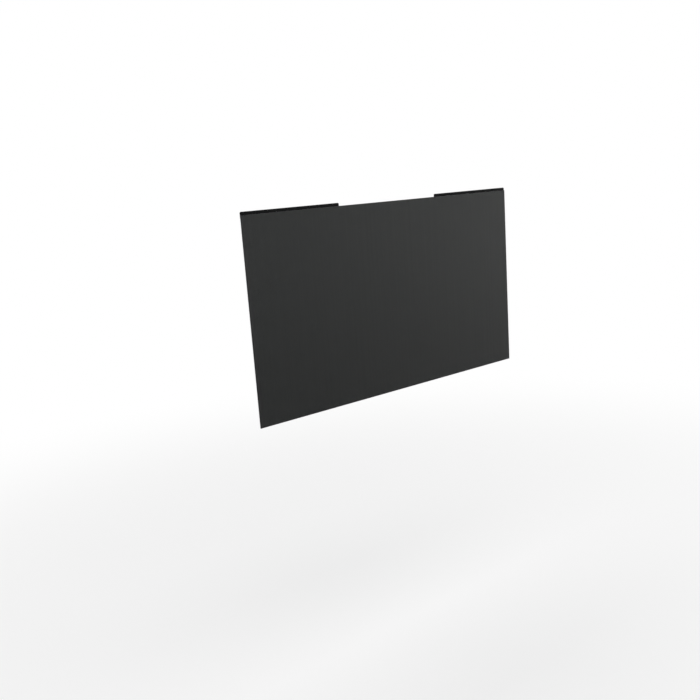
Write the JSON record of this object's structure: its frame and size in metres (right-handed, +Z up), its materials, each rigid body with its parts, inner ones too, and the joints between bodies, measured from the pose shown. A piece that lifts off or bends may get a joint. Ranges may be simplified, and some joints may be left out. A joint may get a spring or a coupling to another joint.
{
  "type": "monitor privacy filter",
  "caption": "Flat louvre-film privacy filter for a wide desktop display, hung on slim magnetic strips bonded behind its top edge.",
  "frame": {"origin": "centre of the whole filter: half way across its width, its thickness and its height, strips included", "axes": "+X along the width to the viewer's right, +Y through the sheet towards the display, +Z up as it hangs"},
  "size_m": [0.531, 0.0018, 0.3034],
  "materials": {
    "louvre_film": "charcoal louvre film, anti-glare matte front, smooth satin back",
    "magnet_rubber": "matte black flexible magnet",
    "bonding_tape": "dark grey acrylic foam tape"
  },
  "bodies": {
    "root": {"filter_sheet": "louvre_film", "magnetic_strip_left": "magnet_rubber", "magnetic_strip_right": "magnet_rubber", "bonding_tape_left": "bonding_tape", "bonding_tape_right": "bonding_tape"}
  },
  "joints": []
}
